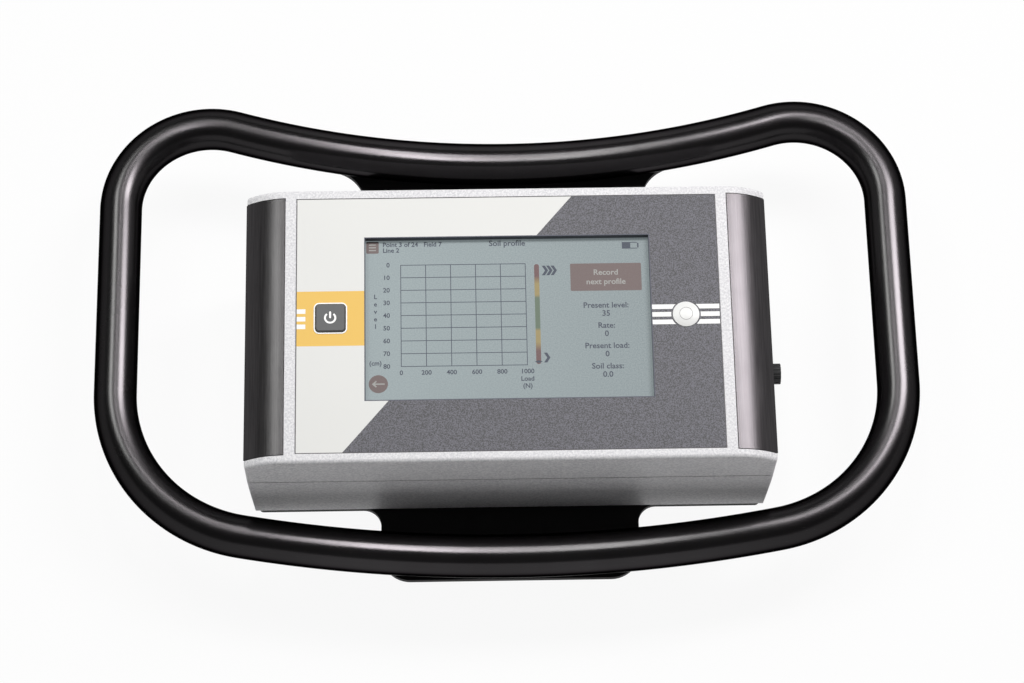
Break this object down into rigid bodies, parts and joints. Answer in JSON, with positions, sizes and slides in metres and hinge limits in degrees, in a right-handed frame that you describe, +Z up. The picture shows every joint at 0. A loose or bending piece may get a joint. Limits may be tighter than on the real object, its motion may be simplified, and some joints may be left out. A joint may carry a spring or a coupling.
{
  "type": "soil penetrometer",
  "caption": "Soil penetrometer head: a bent-tube loop handle round a die-cast data logger with screen, power button, spirit level, capped port and a rod socket underneath.",
  "frame": {"origin": "on the probing rod's axis, in the flat underside of the sensor housing, under the middle of the loop", "axes": "+Z up out of the screen, +X to the right as the screen is read, -Y towards the user"},
  "size_m": [0.5184, 0.3204, 0.1356],
  "materials": {
    "handle_paint": "satin black powder coat",
    "plate_paint": "satin black powder coat",
    "case_paint": "fine-textured silver-white powder coat",
    "trim_metal": "dark anodised, brushed lengthwise",
    "overlay_print": "printed polyester film, fine-grained",
    "screen_glass": "anti-glare glass",
    "display": "display module",
    "button_plastic": "fine-grained dark grey plastic",
    "bezel_plastic": "white translucent plastic",
    "level_plastic": "white plastic",
    "level_glass": "clear domed lens",
    "level_liquid": "clear liquid",
    "rubber": "black rubber",
    "silicone": "pale silicone",
    "steel": "zinc-plated or stainless steel",
    "black_screw": "black oxide steel",
    "sheet_metal": "bent sheet steel",
    "circuit_board": "green solder mask",
    "chip": "black moulded package",
    "connector": "natural nylon",
    "brass": "plain brass",
    "battery_wrap": "shrink wrap",
    "port_metal": "black nickel plate",
    "cap_plastic": "black moulded plastic",
    "housing_paint": "textured black powder coat",
    "sensor_face": "plain aluminium can"
  },
  "bodies": {
    "logger_unit": {"far_bar": "handle_paint", "near_bar": "handle_paint", "left_grip": "handle_paint", "right_grip": "handle_paint", "handle_inserts": "steel", "handle_screws": "black_screw", "carrier_plate": "plate_paint", "case_base": "case_paint", "lid_gasket": "rubber", "case_lid": "case_paint", "lid_screws": "steel", "case_screws": "steel", "left_trim": "trim_metal", "right_trim": "trim_metal", "front_overlay": "overlay_print", "screen_gasket": "rubber", "touch_panel": "screen_glass", "lcd_module": "display", "display_bracket": "sheet_metal", "display_screws": "steel", "button_bezel": "bezel_plastic", "tact_switch": "chip", "button_dome": "silicone", "switch_board": "circuit_board", "switch_screws": "steel", "level_cup": "level_plastic", "level_fluid": "level_liquid", "level_lens": "level_glass", "main_board": "circuit_board", "board_spacers": "brass", "board_screws": "steel", "processor_module": "chip", "board_connectors": "connector", "battery_pack": "battery_wrap", "battery_clamp": "sheet_metal", "clamp_screws": "steel", "port_socket": "port_metal", "port_seal": "rubber", "port_nut": "steel", "sensor_housing": "housing_paint", "housing_gasket": "rubber", "housing_screws": "steel", "load_cell": "steel", "load_cell_bolts": "steel", "rod_socket": "steel", "socket_seal": "rubber", "ultrasonic_sensor": "sensor_face", "sensor_grommet": "rubber", "cable_grommet": "rubber"},
    "power_button": {"power_button_cap": "button_plastic"},
    "port_cover": {"port_cap": "cap_plastic"}
  },
  "joints": [
    {"name": "power_button_press", "type": "slide", "parent": "logger_unit", "child": "power_button", "axis": [0, 0, -1], "range_m": [0, 0.0008], "stiffness_N_per_m": 3000, "deforming": ["button_dome"]},
    {"name": "port_cap_pull", "type": "slide", "parent": "logger_unit", "child": "port_cover", "axis": [1, 0, 0], "range_m": [0, 0.02]}
  ]
}
